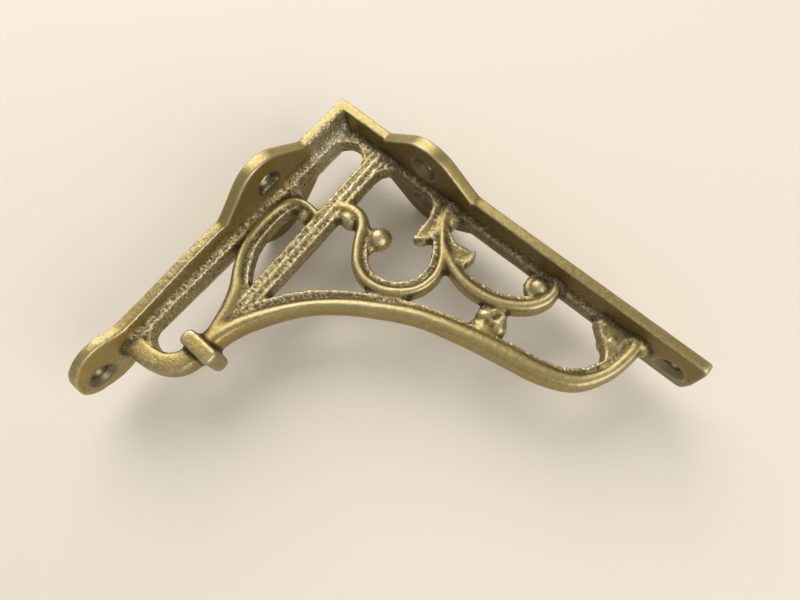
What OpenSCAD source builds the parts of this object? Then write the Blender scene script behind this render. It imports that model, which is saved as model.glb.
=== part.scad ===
// Scrolled shelf bracket, cast in one piece.
// The shelf arm runs along +X and the wall arm along -Y; both outer faces start at the corner.
// Z goes across the casting and is zero on its parting plane, which the two halves mirror.
// Lengths are in millimetres.

/* [Arms] */
// Length of the shelf arm from the outer corner
shelf_arm_l = 127; // [115:1:140]
// Length of the wall arm from the outer corner
wall_arm_l = 111.5; // [102:0.5:124]
// Width of both arms
arm_w = 19; // [17:0.5:21]
// Thickness of an arm along its edges
arm_edge_t = 3; // [2.6:0.1:3.4]
// Thickness of an arm on the parting plane, more than at the edges because of the draft
arm_mid_t = 4.4; // [3.8:0.1:5]
// Corner radius at the end of the shelf arm
shelf_end_r = 1.6; // [0.6:0.2:3]

/* [Ears and lug] */
// Middle of the ears, from the outer corner
ear_s = 35.8; // [33:0.2:38]
// Length of an ear where it leaves the arm
ear_foot_l = 32.8; // [30:0.2:36]
// Span across both ears
ear_span = 39.6; // [37:0.2:42]
// Thickness of the ears
ear_t = 3.7; // [3.4:0.1:4]
// Radius of the round top of an ear
ear_r = 11.4; // [10:0.2:12.4]
// Radius of the round lug that ends the wall arm
lug_r = 10.8; // [10:0.2:12]
// Width of the neck before the lug
neck_w = 16.2; // [14:0.2:17]

/* [Screw holes] */
// Diameter of the straight part of a screw hole
hole_d = 4.5; // [4:0.1:5.4]
// Diameter of the countersink on the inner face
sink_d = 8.7; // [8:0.1:9.6]
// Depth of the countersink
sink_depth = 2; // [1.6:0.1:2.4]
// Holes in the ears, from the outer corner
ear_hole_s = 34.8; // [33:0.2:37]
// Spacing of the two holes of an arm's ears, across the arm
ear_hole_gap = 19.2; // [18:0.2:20.4]
// Hole in the lug, from the end of the wall arm
lug_hole_end = 7.2; // [6.6:0.1:9]
// Hole at the end of the shelf arm, from that end
shelf_hole_end = 6.8; // [6:0.1:8]

/* [Scrollwork] */
// Width of the strips along the arms, from the edge thickness of the arm
strip_w = 2.6; // [2:0.1:3.4]
// Thickness of a strip at its root, where a fillet runs into the arm
strip_root_t = 8; // [6.4:0.2:10]
// Thickness of the fillets in the corners of the openings
fillet_t = 4.4; // [3.6:0.2:4.8]
// Radius of the fillets beside the outer corner
corner_fillet_r = 5; // [4.4:0.2:5.6]
// Radius of the other large fillets
fillet_r = 4; // [3.6:0.1:4.4]
// Radius of the small fillets
fillet_small_r = 2.4; // [2.1:0.1:2.7]
// Thickness of the recessed panels between the scrolls
panel_t = 5.6; // [5:0.2:6]
// Thickness of the arch at its bead
arch_t = 7.8; // [6.6:0.2:9]
// Width of the arch
arch_w = 6.4; // [5.6:0.2:7]
// Thickness of the leaves and the spur
leaf_t = 6.2; // [5:0.2:7]
// Thickness of the scrolls at their beads
scroll_t = 7; // [6:0.2:8]
// Width of the round scroll in the middle
scroll_w = 5; // [4.4:0.1:5.6]
// Width of the flat scroll that branches off it
branch_w = 4.7; // [4.2:0.1:5.4]
// Width of the crescent beside the wall arm
crescent_w = 5.2; // [4.8:0.1:5.8]
// Width of the reeded bar beside the wall arm
bar_w = 5.8; // [5:0.1:6.4]
// Width of the foot that curls back to the wall arm
foot_w = 6.2; // [5.4:0.1:7]
// Width of the leaves where the scrolls part
leaf_w = 4.6; // [4:0.1:5.2]
// Width of the spur at the end of the arch
spur_w = 2.2; // [1.8:0.1:2.8]

/* [Balls and collar] */
// Diameter of the ball inside the round scroll
scroll_ball_d = 7.2; // [6.4:0.1:8]
// Diameter of the ball inside the branch
branch_ball_d = 6.8; // [6:0.1:7.4]
// Diameter of the ball at the head of the crescent
crescent_ball_d = 5.4; // [4.8:0.1:6]
// Diameter of the balls of the bud
bud_d = 5.1; // [4.5:0.1:5.6]
// Length of the lobe under the start of the round scroll
lobe_l = 6.4; // [5.6:0.1:7.2]
// Length of the collar across the stem
collar_l = 11.8; // [10.6:0.2:13]
// Width of the collar along the stem
collar_w = 4.6; // [4:0.1:5.4]
// Thickness of the collar, the thickest place of the scrollwork
collar_t = 11.6; // [10:0.2:13]

/* [Hidden] */

half_w = arm_w / 2;
half_span = ear_span / 2;
strip_edge = arm_edge_t + strip_w;
// How far one shape runs into the next
overlap = arm_edge_t / 2;
// How deep the ends of a fillet are sunk into the bands that it joins
bite = arm_edge_t / 20;
// How far a cutter runs past a face
over = arm_edge_t;
// Steps along one stretch of a curve, around an outline's arc, around a fillet and around a ball
curve_steps = 2;
arc_steps = 18;
fillet_steps = 6;
ball_steps = 16;

// Tables of shares: places are shares of the two arms' lengths, from the outer corner.
// The third value is a share of the band's width. The fourth is the share of it that the flat
// strip of a moulded band takes, or a share of the thickness of a plain band.
arch_shares = [
  [0.161, 0.753, 0.95, 0.05],
  [0.162, 0.709, 0.98, 0.05],
  [0.169, 0.659, 0.98, 0.2],
  [0.192, 0.592, 1.05, 0.33],
  [0.245, 0.496, 1.07, 0.46],
  [0.313, 0.424, 1.02, 0.4],
  [0.387, 0.37, 0.96, 0.32],
  [0.473, 0.319, 0.93, 0.21],
  [0.568, 0.286, 0.95, 0.16],
  [0.662, 0.262, 0.98, 0.12],
  [0.75, 0.24, 0.97, 0.15],
  [0.811, 0.205, 0.95, 0.25],
  [0.845, 0.149, 0.87, 0.33],
  [0.859, 0.09, 0.85, 0.28],
  [0.863, 0.027, 0.84, 0.2]
];
crescent_shares = [
  [0.142, 0.286, 0.62, 0.2],
  [0.099, 0.282, 0.66, 0.2],
  [0.072, 0.299, 0.78, 0.3],
  [0.061, 0.341, 0.88, 0.42],
  [0.061, 0.404, 0.9, 0.45],
  [0.07, 0.462, 0.98, 0.45],
  [0.094, 0.517, 1.05, 0.38],
  [0.123, 0.563, 1.1, 0.2],
  [0.142, 0.619, 1, 0.1],
  [0.154, 0.686, 0.85, 0.1]
];
scroll_shares = [
  [0.162, 0.221, 0.58, 0.1],
  [0.191, 0.207, 0.6, 0.12],
  [0.217, 0.209, 0.62, 0.15],
  [0.239, 0.228, 0.7, 0.25],
  [0.254, 0.257, 0.85, 0.32],
  [0.272, 0.287, 0.96, 0.35],
  [0.296, 0.316, 1, 0.34],
  [0.329, 0.33, 1, 0.32],
  [0.367, 0.325, 1, 0.33],
  [0.402, 0.301, 1, 0.36],
  [0.427, 0.264, 1.02, 0.42],
  [0.434, 0.219, 1.03, 0.44],
  [0.423, 0.176, 0.95, 0.4],
  [0.397, 0.135, 0.85, 0.35],
  [0.373, 0.097, 0.85, 0.3],
  [0.361, 0.058, 1.1, 0.3],
  [0.357, 0.022, 1.3, 0.3]
];
branch_shares = [
  [0.403, 0.131, 0.8, 0.3],
  [0.433, 0.152, 0.9, 0.32],
  [0.465, 0.169, 0.97, 0.34],
  [0.5, 0.178, 1.02, 0.35],
  [0.539, 0.178, 1.05, 0.35],
  [0.579, 0.169, 1.06, 0.34],
  [0.615, 0.149, 1.07, 0.32],
  [0.644, 0.121, 1.04, 0.3],
  [0.661, 0.089, 0.95, 0.28],
  [0.662, 0.059, 0.8, 0.3],
  [0.649, 0.034, 0.7, 0.3]
];
bar_shares = [
  [0.149, 0.023, 1, 1],
  [0.151, 0.126, 1, 1],
  [0.157, 0.305, 1, 1],
  [0.162, 0.502, 0.95, 1],
  [0.167, 0.601, 0.8, 0.9]
];
foot_shares = [
  [0.162, 0.713, 0.95, 1],
  [0.154, 0.759, 0.97, 1],
  [0.144, 0.791, 1, 1],
  [0.12, 0.816, 1, 1],
  [0.088, 0.828, 1, 1],
  [0.054, 0.83, 1.02, 1],
  [0.019, 0.828, 1.04, 1]
];
leaf_in_shares = [
  [0.351, 0.03, 1.5, 1],
  [0.353, 0.063, 1.17, 1],
  [0.356, 0.099, 0.96, 1],
  [0.357, 0.135, 0.98, 0.95],
  [0.355, 0.158, 0.94, 0.7],
  [0.353, 0.173, 0.55, 0.35]
];
leaf_out_shares = [
  [0.375, 0.093, 0.6, 1],
  [0.398, 0.113, 0.75, 1],
  [0.425, 0.13, 0.95, 1],
  [0.449, 0.132, 1.15, 0.95],
  [0.467, 0.123, 1, 0.9],
  [0.48, 0.109, 0.3, 0.6]
];
spur_shares = [
  [0.839, 0.147, 0.9, 0.9],
  [0.834, 0.117, 1, 0.9],
  [0.816, 0.09, 1, 0.9],
  [0.792, 0.069, 1.1, 0.9],
  [0.781, 0.05, 1.2, 0.95],
  [0.778, 0.027, 1.2, 0.95]
];
leaf_tip_shares = [
  [0.353, 0.047, 0.90, 0.90],
  [0.376, 0.065, 0.70, 0.85],
  [0.395, 0.080, 0.25, 0.50]
];
// Recessed panels: behind the spur, beside the head of the crescent, where bar, arch and crescent
// meet, and where the round scroll rests on the arch
panel_shares = [
  [[0.78, 0.02], [0.865, 0.02], [0.85, 0.13], [0.836, 0.13], [0.814, 0.084], [0.786, 0.06]],
  [[0.033, 0.265], [0.075, 0.28], [0.068, 0.318], [0.052, 0.359], [0.033, 0.377]],
  [[0.136, 0.552], [0.183, 0.546], [0.194, 0.592], [0.176, 0.655], [0.155, 0.677], [0.139, 0.614]],
  [[0.362, 0.337], [0.381, 0.362], [0.425, 0.337], [0.414, 0.31]]
];
scroll_ball_shares = [0.283, 0.226];
branch_ball_shares = [0.631, 0.074];
crescent_ball_shares = [0.111, 0.300];
lobe_shares = [0.199, 0.234];
collar_shares = [0.162, 0.730];
bud_shares = [0.600, 0.213];
// Ends of the strips, as shares of their arms
shelf_strip_end_share = 0.86;
wall_strip_end_share = 0.84;

// Sections: across the band, then up, as shares of half the width and half the thickness.
strip_section_shares = [[0, 0.28], [0.04, 0.56], [1, 0.56]];
bead_section_shares = [[0.1, 0.78], [0.3, 0.97], [0.55, 1], [0.8, 0.82], [0.95, 0.5], [1, 0.12]];
reed_section_shares = [
  [1, 0.4], [0.88, 0.9], [0.72, 0.92], [0.5, 0.8], [0.3, 0.93], [0, 1], [-0.22, 0.94], [-0.36, 0.82],
  [-0.55, 0.92], [-0.8, 0.9], [-1, 0.4]
];
round_section_shares = [[1, 0.25], [0.9, 0.66], [0.6, 0.9], [0, 1], [-0.6, 0.9], [-0.9, 0.66], [-1, 0.25]];
leaf_section_shares = [
  [1, 0.4], [0.92, 0.95], [0.6, 0.95], [0, 0.62],
  [-0.6, 0.95], [-0.92, 0.95], [-1, 0.4]
];
flat_section_shares = [
  [1, 0.3], [0.95, 0.8], [0.74, 0.97], [0.4, 1],
  [-0.4, 1], [-0.74, 0.97], [-0.95, 0.8], [-1, 0.3]
];
// The collar's ends are worn round: place along it, share of its width, share of its thickness
collar_end_shares = [
  [-1, 0.5, 0.62], [-0.9, 0.86, 0.9], [-0.7, 1, 1],
  [0.7, 1, 1], [0.9, 0.86, 0.9], [1, 0.5, 0.62]
];
// How far the neck narrows on its way to the lug: place between ear and lug, share of the narrowing
neck_shares = [[0, 0], [0.35, 0.25], [0.7, 0.9], [0.85, 1], [1, 0.9]];
// Direction in which the lug's circle takes over from the neck
lug_turn = 122;
// Half of a strip's section: across it from the arm's edge thickness, then up, to the root's thickness
strip_profile_shares = [[-0.5, 1], [0.3, 1], [0.55, 0.63], [0.9, 0.63], [1, 0.45]];
// The bud's four balls: where they sit and how far they are stretched, as shares of a ball
bud_ball_shares = [
  [-0.42, 0, 0.9, 1.1, 1.2],
  [0.42, 0, 0.9, 1.1, 1.2],
  [0, -0.62, 1, 1, 1],
  [0, 0.5, 1, 1, 1]
];
// The lobe's length, width and thickness as shares of its length
lobe_stretch_shares = [1, 0.6, 0.95];
// Where the edges of the bands lie that a fillet meets, as shares of their widths
crescent_edge_share = 0.33;
scroll_edge_share = 0.3;
arch_edge_share = 0.42;

function at(p) = [p[0] * shelf_arm_l, -p[1] * wall_arm_l];

// A smooth curve through the points of a table, each row carried along whole
function between(a, b, c, d, f) =
  b + (c - a) * f / 2 + (a * 2 - b * 5 + c * 4 - d) * f * f / 2 + (b * 3 - a - c * 3 + d) * f * f * f / 2;
function smooth(t) = [
  for (i = [0:len(t) - 2], k = [0:curve_steps - 1])
    between(t[max(i - 1, 0)], t[i], t[i + 1], t[min(i + 2, len(t) - 1)], k / curve_steps),
  t[len(t) - 1]
];
// Places the rows of a smoothed table: x, y, half width, then the rest
function route(t, w) = [for (p = smooth(t)) [at(p)[0], at(p)[1], p[2] * w / 2, p[3]]];

function mirrored(s) = concat(s, [for (i = [len(s) - 1:-1:0]) [s[i][0], -s[i][1]]]);
// A flat strip on the left of the way and a round bead on its right
function moulding(strip) = concat(
  [for (q = strip_section_shares) [1 - q[0] * strip * 2, q[1]]],
  [for (q = bead_section_shares) [1 - (strip + q[0] * (1 - strip)) * 2, q[1]]]
);

// Sets one section at each place of a route, square to the way, and skins them
function way(r, i) = r[min(i + 1, len(r) - 1)] - r[max(i - 1, 0)];
function left(r, i) = [-way(r, i)[1], way(r, i)[0]] / norm([way(r, i)[0], way(r, i)[1]]);
function ring(r, i, s, t) = [
  for (q = s)
    [r[i][0] + left(r, i)[0] * q[0] * r[i][2], r[i][1] + left(r, i)[1] * q[0] * r[i][2], q[1] * t / 2]
];
module skin(rings) {
  n = len(rings);
  m = len(rings[0]);
  sides = [
    for (i = [0:n - 2], j = [0:m - 1])
      [i * m + j, (i + 1) * m + j, (i + 1) * m + (j + 1) % m, i * m + (j + 1) % m]
  ];
  first = [for (j = [0:m - 1]) j];
  last = [for (j = [m - 1:-1:0]) (n - 1) * m + j];
  polyhedron([for (r = rings, p = r) p], concat([first], sides, [last]));
}
module moulded_band(t, w, thick) {
  r = route(t, w);
  skin([for (i = [0:len(r) - 1]) ring(r, i, mirrored(moulding(r[i][3])), thick)]);
}
module plain_band(t, w, thick, section) {
  r = route(t, w);
  skin([for (i = [0:len(r) - 1]) ring(r, i, mirrored(section), thick * r[i][3])]);
}

// Half of an arm's outline, from the corner to its end: along the arm, then across it
function bend(c, r, a, b) = [
  for (k = [0:arc_steps])
    let (g = a + (b - a) * k / arc_steps)
    c + [cos(g), sin(g)] * r
];
function slope_angle(c, p) = atan2(p[1] - c[1], p[0] - c[0]);
function touch_angle(c, p, r) = acos(r / norm(p - c));
function ear_side() =
  let (
    c = [ear_s, half_span - ear_r],
    q = [ear_s + ear_foot_l / 2, half_w],
    turn = slope_angle(c, q) + touch_angle(c, q, ear_r)
  )
  concat([[ear_s - ear_foot_l / 2, half_w]], bend(c, ear_r, 180 - turn, turn), [q]);
function shelf_end_side() = bend([shelf_arm_l - shelf_end_r, half_w - shelf_end_r], shelf_end_r, 90, 0);
function lug_side() =
  let (
    lug_s = wall_arm_l - lug_r,
    from = ear_s + ear_foot_l / 2,
    to = lug_s + lug_r * cos(lug_turn),
    dip = half_w - neck_w / 2
  )
  concat(
    [
      for (q = smooth(neck_shares))
        if (q[0] > 0 && q[0] < 1) [from + (to - from) * q[0], half_w - dip * q[1]]
    ],
    bend([lug_s, 0], lug_r, lug_turn, 0)
  );
function both_sides(side) = concat(side, [for (i = [len(side) - 1:-1:0]) [side[i][0], -side[i][1]]]);

// One arm laid along X: its outline, thinned from the parting plane to the edges by the draft,
// and the ears' plate
module arm(side, length) {
  rotate([90, 0, 0])
    linear_extrude(height = ear_t)
      polygon(both_sides(ear_side()));
  intersection() {
    rotate([90, 0, 0])
      linear_extrude(height = arm_mid_t + over)
        polygon(both_sides(side));
    rotate([90, 0, 90])
      linear_extrude(height = length + over)
        polygon([
          [0, -half_span - over],
          [0, half_span + over],
          [-arm_edge_t, half_span + over],
          [-arm_edge_t, half_w],
          [-arm_mid_t, 0],
          [-arm_edge_t, -half_w],
          [-arm_edge_t, -half_span - over]
        ]);
  }
}

// Turns what is laid along the shelf arm onto the wall arm
module on_wall() {
  mirror([1, 1, 0])
    children();
}

// A screw hole through an arm laid along X, sunk from the inner face
module screw_hole(s, z, thick) {
  translate([s, 0, z])
    rotate([90, 0, 0]) {
      translate([0, 0, -over])
        cylinder(h = thick + over * 2, d = hole_d, $fn = 48);
      translate([0, 0, thick - sink_depth])
        cylinder(h = sink_depth * 2, d1 = hole_d, d2 = sink_d * 2 - hole_d, $fn = 48);
    }
}
module ear_holes() {
  for (z = [-1, 1])
    screw_hole(ear_hole_s, z * ear_hole_gap / 2, ear_t);
}

// The strip between an arm laid along X and the scrollwork, with a fillet at its root
module strip(length) {
  rotate([90, 0, 90])
    linear_extrude(height = length)
      polygon([
        for (q = mirrored(strip_profile_shares))
          [-arm_edge_t - q[0] * strip_w, q[1] * strip_root_t / 2]
      ]);
}

// A concave fillet in a corner of an opening that lies to the side u, v of the corner
module fillet(corner, r, u, v) {
  translate([corner[0] - u * bite, corner[1] - v * bite, 0])
    linear_extrude(height = fillet_t, center = true)
      polygon(concat(
        [[-u * overlap, -v * overlap], [u * r, -v * overlap]],
        [
          for (k = [0:fillet_steps])
            let (g = k * 90 / fillet_steps)
            [u * r * (1 - sin(g)), v * r * (1 - cos(g))]
        ],
        [[-u * overlap, v * r]]
      ));
}

module ball(place, d) {
  translate([at(place)[0], at(place)[1], 0])
    sphere(d = d, $fn = ball_steps);
}

module collar() {
  c = at(collar_shares);
  skin([
    for (e = collar_end_shares)
      [
        for (q = mirrored(flat_section_shares))
          [c[0] + e[0] * collar_l / 2, c[1] + q[0] * e[1] * collar_w / 2, q[1] * e[2] * collar_t / 2]
      ]
  ]);
}

// Two balls side by side between the branch and the arch, with one more above and below
module bud() {
  c = at(bud_shares);
  for (q = bud_ball_shares)
    translate([c[0] + q[0] * bud_d, c[1] + q[1] * bud_d, 0])
      scale([q[2], q[3], q[4]])
        sphere(d = bud_d, $fn = ball_steps);
}

module lobe() {
  translate([at(lobe_shares)[0], at(lobe_shares)[1], 0])
    scale(lobe_stretch_shares)
      sphere(d = lobe_l, $fn = ball_steps);
}

module opening_fillets() {
  bar_x = at(bar_shares[1])[0];
  leaf_x = at(leaf_in_shares[1])[0] - leaf_w / 2;
  foot_y = at(foot_shares[4])[1] + foot_w / 2;
  crescent_y = at(crescent_shares[1])[1] + crescent_w * crescent_edge_share;
  scroll_y = at(scroll_shares[1])[1] + scroll_w * scroll_edge_share;
  arch_x = at(arch_shares[13])[0] + arch_w * arch_edge_share;
  fillet([strip_edge, -strip_edge], corner_fillet_r, 1, -1);
  fillet([bar_x - bar_w / 2, -strip_edge], corner_fillet_r, -1, -1);
  fillet([bar_x + bar_w / 2, -strip_edge], fillet_r, 1, -1);
  fillet([leaf_x, -strip_edge], fillet_r, -1, -1);
  fillet([strip_edge, foot_y], fillet_r, 1, 1);
  fillet([strip_edge, crescent_y], fillet_r, 1, 1);
  fillet([bar_x + bar_w / 2, scroll_y], fillet_small_r, 1, 1);
  fillet([arch_x, -arm_edge_t], fillet_r, 1, -1);
}

module panels() {
  for (p = panel_shares)
    linear_extrude(height = panel_t, center = true)
      polygon([for (q = p) at(q)]);
}

module scrollwork() {
  resize([0, 0, collar_t]) {
    moulded_band(arch_shares, arch_w, arch_t);
    moulded_band(crescent_shares, crescent_w, scroll_t);
    moulded_band(scroll_shares, scroll_w, scroll_t);
    moulded_band(branch_shares, branch_w, scroll_t);
    plain_band(bar_shares, bar_w, scroll_t, reed_section_shares);
    plain_band(foot_shares, foot_w, scroll_t, flat_section_shares);
    plain_band(leaf_in_shares, leaf_w, leaf_t, leaf_section_shares);
    plain_band(leaf_out_shares, leaf_w, leaf_t, leaf_section_shares);
    plain_band(leaf_tip_shares, leaf_w, leaf_t, leaf_section_shares);
    plain_band(spur_shares, spur_w, leaf_t, round_section_shares);
    strip(shelf_arm_l * shelf_strip_end_share);
    on_wall()
      strip(wall_arm_l * wall_strip_end_share);
    opening_fillets();
    panels();
    ball(scroll_ball_shares, scroll_ball_d);
    ball(branch_ball_shares, branch_ball_d);
    ball(crescent_ball_shares, crescent_ball_d);
    lobe();
    bud();
    collar();
  }
}

// The bracket: two arms with their ears and lug, the scrollwork between them, and six screw holes
module bracket() {
  color([0.46, 0.4, 0.22])
    difference() {
      union() {
        arm(concat([[0, half_w]], ear_side(), shelf_end_side()), shelf_arm_l);
        on_wall()
          arm(concat([[0, half_w]], ear_side(), lug_side()), wall_arm_l);
        scrollwork();
      }
      ear_holes();
      screw_hole(shelf_arm_l - shelf_hole_end, 0, arm_mid_t);
      on_wall() {
        ear_holes();
        screw_hole(wall_arm_l - lug_hole_end, 0, arm_mid_t);
      }
    }
}

bracket();
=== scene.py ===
# %% [markdown]
# A shelf bracket in antique brass
#
# The object is one iron casting, plated and darkened to look like old brass. The exact
# shape comes from the CAD model. This lesson turns it into what the eye meets: bands
# without facets, soft cast edges, sand grain, dark patina in the hollows and pale rub marks
# on the ridges. Blender works in metres here. Sizes are written in millimetres, and MM turns
# them into metres.

import math

import bpy
import numpy as np
from mathutils import Matrix, Vector
from mathutils.bvhtree import BVHTree
from mathutils.kdtree import KDTree


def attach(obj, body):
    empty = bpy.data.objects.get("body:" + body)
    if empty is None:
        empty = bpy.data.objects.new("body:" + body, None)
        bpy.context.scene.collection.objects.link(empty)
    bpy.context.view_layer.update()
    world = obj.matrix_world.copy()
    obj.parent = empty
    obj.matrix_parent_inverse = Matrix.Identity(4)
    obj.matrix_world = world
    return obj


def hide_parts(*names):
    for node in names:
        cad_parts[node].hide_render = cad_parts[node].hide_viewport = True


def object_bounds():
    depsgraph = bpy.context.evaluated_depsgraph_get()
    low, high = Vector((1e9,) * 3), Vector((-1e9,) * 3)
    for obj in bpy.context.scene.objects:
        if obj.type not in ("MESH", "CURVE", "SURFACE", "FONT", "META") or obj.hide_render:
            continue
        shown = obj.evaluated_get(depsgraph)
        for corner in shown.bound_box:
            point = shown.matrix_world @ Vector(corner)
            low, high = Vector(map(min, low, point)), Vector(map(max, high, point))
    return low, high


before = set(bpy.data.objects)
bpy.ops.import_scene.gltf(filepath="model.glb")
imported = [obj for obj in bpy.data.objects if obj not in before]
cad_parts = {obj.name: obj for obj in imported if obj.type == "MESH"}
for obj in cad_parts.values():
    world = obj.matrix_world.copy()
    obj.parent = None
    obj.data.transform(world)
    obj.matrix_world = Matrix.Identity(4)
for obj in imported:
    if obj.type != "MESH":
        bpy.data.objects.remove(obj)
cad_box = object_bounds()
MM = 0.001
print("CAD box in mm:", [[round(v / MM, 1) for v in corner] for corner in cad_box])

# %% [markdown]
# The casting's own mesh
#
# The arms, ears and screw holes are taken from the CAD node as they are. A node's mesh is
# loose triangles, so the copy is merged first. Copying keeps every hole where the record
# says it is, which modelling the arms again could not promise.

# %% Copy the CAD node
MERGE = 0.0005


def pick(*objects):
    """Selects these objects and nothing else; the last one is the active one."""
    bpy.ops.object.select_all(action="DESELECT")
    for o in objects:
        o.select_set(True)
    bpy.context.view_layer.objects.active = objects[-1]


def apply_modifier(piece, name, kind, **settings):
    pick(piece)
    m = piece.modifiers.new(name, kind)
    for key, value in settings.items():
        setattr(m, key, value)
    bpy.ops.object.modifier_apply(modifier=name)


pick(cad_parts["bracket"])
bpy.ops.object.duplicate()
bracket = bpy.context.active_object
bracket.name = "bracket_casting"
bracket.data.name = "bracket_casting"
bpy.ops.object.mode_set(mode="EDIT")
bpy.ops.mesh.select_all(action="SELECT")
bpy.ops.mesh.remove_doubles(threshold=MERGE * MM)
bpy.ops.object.mode_set(mode="OBJECT")
print("merged copy:", len(bracket.data.vertices), "points")

# %% [markdown]
# The scrolls as smooth bands
#
# In the CAD model each scroll is a band of flat facets, enough for a solid but not for a
# shiny surface. Here the same bands are drawn finely: a curve runs through the same
# points, and a section is set square to it every half millimetre or so. A curve object
# with a bevel profile could do this too, but its profile can't change along the way, and
# on this bracket the flat strip beside each bead swells and dies out.

# %% Points of the bands
# Each row: place x and y in mm, share of the band's width, then one more share. That is the
# strip's part of the width in the first four bands, and the thickness's in the others.
ARCH = [
    (20.5, -84.0, 0.95, 0.05), (20.6, -79.0, 0.98, 0.05), (21.5, -73.5, 0.98, 0.2),
    (24.4, -66.0, 1.05, 0.33), (31.1, -55.3, 1.07, 0.46), (39.7, -47.3, 1.02, 0.4),
    (49.1, -41.2, 0.96, 0.32), (60.1, -35.6, 0.93, 0.21), (72.1, -31.9, 0.95, 0.16),
    (84.1, -29.2, 0.98, 0.12), (95.2, -26.8, 0.97, 0.15), (103.0, -22.9, 0.95, 0.25),
    (107.3, -16.6, 0.87, 0.33), (109.1, -10.0, 0.85, 0.28), (109.6, -3.0, 0.84, 0.2),
]
CRESCENT = [
    (18.0, -31.9, 0.62, 0.2), (12.6, -31.4, 0.66, 0.2), (9.1, -33.3, 0.78, 0.3), (7.7, -38.0, 0.88, 0.42),
    (7.7, -45.0, 0.9, 0.45), (8.9, -51.5, 0.98, 0.45), (12.0, -57.6, 1.05, 0.38), (15.6, -62.8, 1.1, 0.2),
    (18.0, -69.0, 1.0, 0.1), (19.6, -76.5, 0.85, 0.1),
]
SCROLL = [
    (20.6, -25.0, 0.8, 0.05), (24.2, -23.7, 0.82, 0.05), (27.6, -23.9, 0.82, 0.05),
    (30.1, -25.8, 0.82, 0.12), (32.2, -28.8, 0.88, 0.28), (34.5, -32.0, 0.96, 0.35),
    (37.6, -35.2, 1.0, 0.34), (41.8, -36.8, 1.0, 0.32), (46.6, -36.2, 1.0, 0.33),
    (51.0, -33.6, 1.0, 0.36), (54.2, -29.4, 1.02, 0.42), (55.1, -24.4, 1.03, 0.44),
    (53.7, -19.6, 0.95, 0.4), (50.4, -15.0, 0.85, 0.35), (47.4, -10.8, 0.85, 0.3),
    (45.8, -6.5, 1.1, 0.3), (45.4, -2.4, 1.3, 0.3),
]
BRANCH = [
    (51.2, -14.6, 0.8, 0.25), (55.0, -17.0, 0.9, 0.24), (59.0, -18.8, 0.97, 0.22),
    (63.5, -19.9, 1.02, 0.22), (68.5, -19.9, 1.05, 0.22), (73.5, -18.8, 1.06, 0.22),
    (78.1, -16.6, 1.07, 0.22), (81.8, -13.5, 1.04, 0.2), (83.9, -9.9, 0.95, 0.2),
    (84.1, -6.6, 0.8, 0.2), (82.4, -3.8, 0.7, 0.2),
]
BAR = [
    (18.9, -2.6, 1.0, 1.0), (19.2, -14.0, 1.0, 1.0), (19.9, -34.0, 1.0, 1.0), (20.6, -56.0, 0.95, 1.0),
    (21.2, -67.0, 0.8, 0.9),
]
FOOT = [
    (20.6, -79.5, 0.95, 1.0), (19.6, -84.6, 0.97, 1.0), (18.3, -88.2, 1.0, 1.0), (15.3, -91.0, 1.0, 1.0),
    (11.2, -92.3, 1.0, 1.0), (6.8, -92.5, 1.02, 1.0), (2.4, -92.3, 1.04, 1.0),
]
LEAF_IN = [
    (44.6, -3.4, 1.5, 1.0), (44.8, -7.0, 1.17, 1.0), (45.5, -11.0, 1.05, 1.0), (46.0, -14.6, 1.05, 1.0),
    (45.2, -17.0, 0.65, 0.97), (43.8, -19.2, 0.12, 0.85),
]
LEAF_OUT = [
    (47.6, -10.4, 0.6, 1.0), (50.6, -12.6, 0.75, 1.0), (54.0, -14.7, 0.95, 1.0), (56.8, -15.0, 1.05, 1.0),
    (58.8, -14.4, 1.0, 1.0), (59.8, -12.9, 0.6, 1.0), (60.3, -11.0, 0.12, 0.9),
]
LEAF_TIP = [(44.8, -5.2, 0.9, 0.9), (47.8, -7.3, 0.7, 0.85), (50.2, -8.9, 0.25, 0.5)]
SPUR = [
    (106.6, -16.4, 0.9, 0.9), (105.9, -13.0, 1.0, 0.9), (103.6, -10.0, 1.0, 0.9), (100.6, -7.7, 1.1, 0.9),
    (99.2, -5.6, 1.2, 0.95), (98.8, -3.0, 1.2, 0.95),
]
print("points of the arch:", len(ARCH), "and of the scroll:", len(SCROLL))

# %% Sections of the bands
# Across the band, then up, as shares of half its width and half its thickness. STRIP and BEAD
# run from nought to one over the part of the width that each of them takes.
STRIP = [
    (0.0, 0.24), (0.04, 0.5), (0.12, 0.68), (0.24, 0.75), (0.38, 0.72), (0.54, 0.64), (0.76, 0.58),
    (1.0, 0.54),
]
BEAD = [
    (0.03, 0.68), (0.08, 0.81), (0.16, 0.9), (0.28, 0.965), (0.42, 1.0), (0.58, 0.995), (0.72, 0.94),
    (0.84, 0.81), (0.92, 0.62), (0.97, 0.4), (1.0, 0.12),
]
REED = [
    (1.0, 0.3), (0.98, 0.62), (0.92, 0.86), (0.82, 0.93), (0.7, 0.88), (0.56, 0.73), (0.46, 0.71),
    (0.34, 0.84), (0.18, 0.96), (0.0, 0.98), (-0.16, 0.94), (-0.28, 0.82), (-0.38, 0.73),
    (-0.48, 0.76), (-0.62, 0.9), (-0.78, 0.93), (-0.92, 0.82), (-1.0, 0.3),
]
ROUND = [
    (1.0, 0.2), (0.97, 0.45), (0.88, 0.68), (0.72, 0.84), (0.5, 0.94), (0.0, 1.0), (-0.5, 0.94),
    (-0.72, 0.84), (-0.88, 0.68), (-0.97, 0.45), (-1.0, 0.2),
]
FLAT = [
    (1.0, 0.24), (0.985, 0.5), (0.94, 0.74), (0.84, 0.89), (0.68, 0.965), (0.4, 1.0), (-0.4, 1.0),
    (-0.68, 0.965), (-0.84, 0.89), (-0.94, 0.74), (-0.985, 0.5), (-1.0, 0.24),
]
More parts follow.
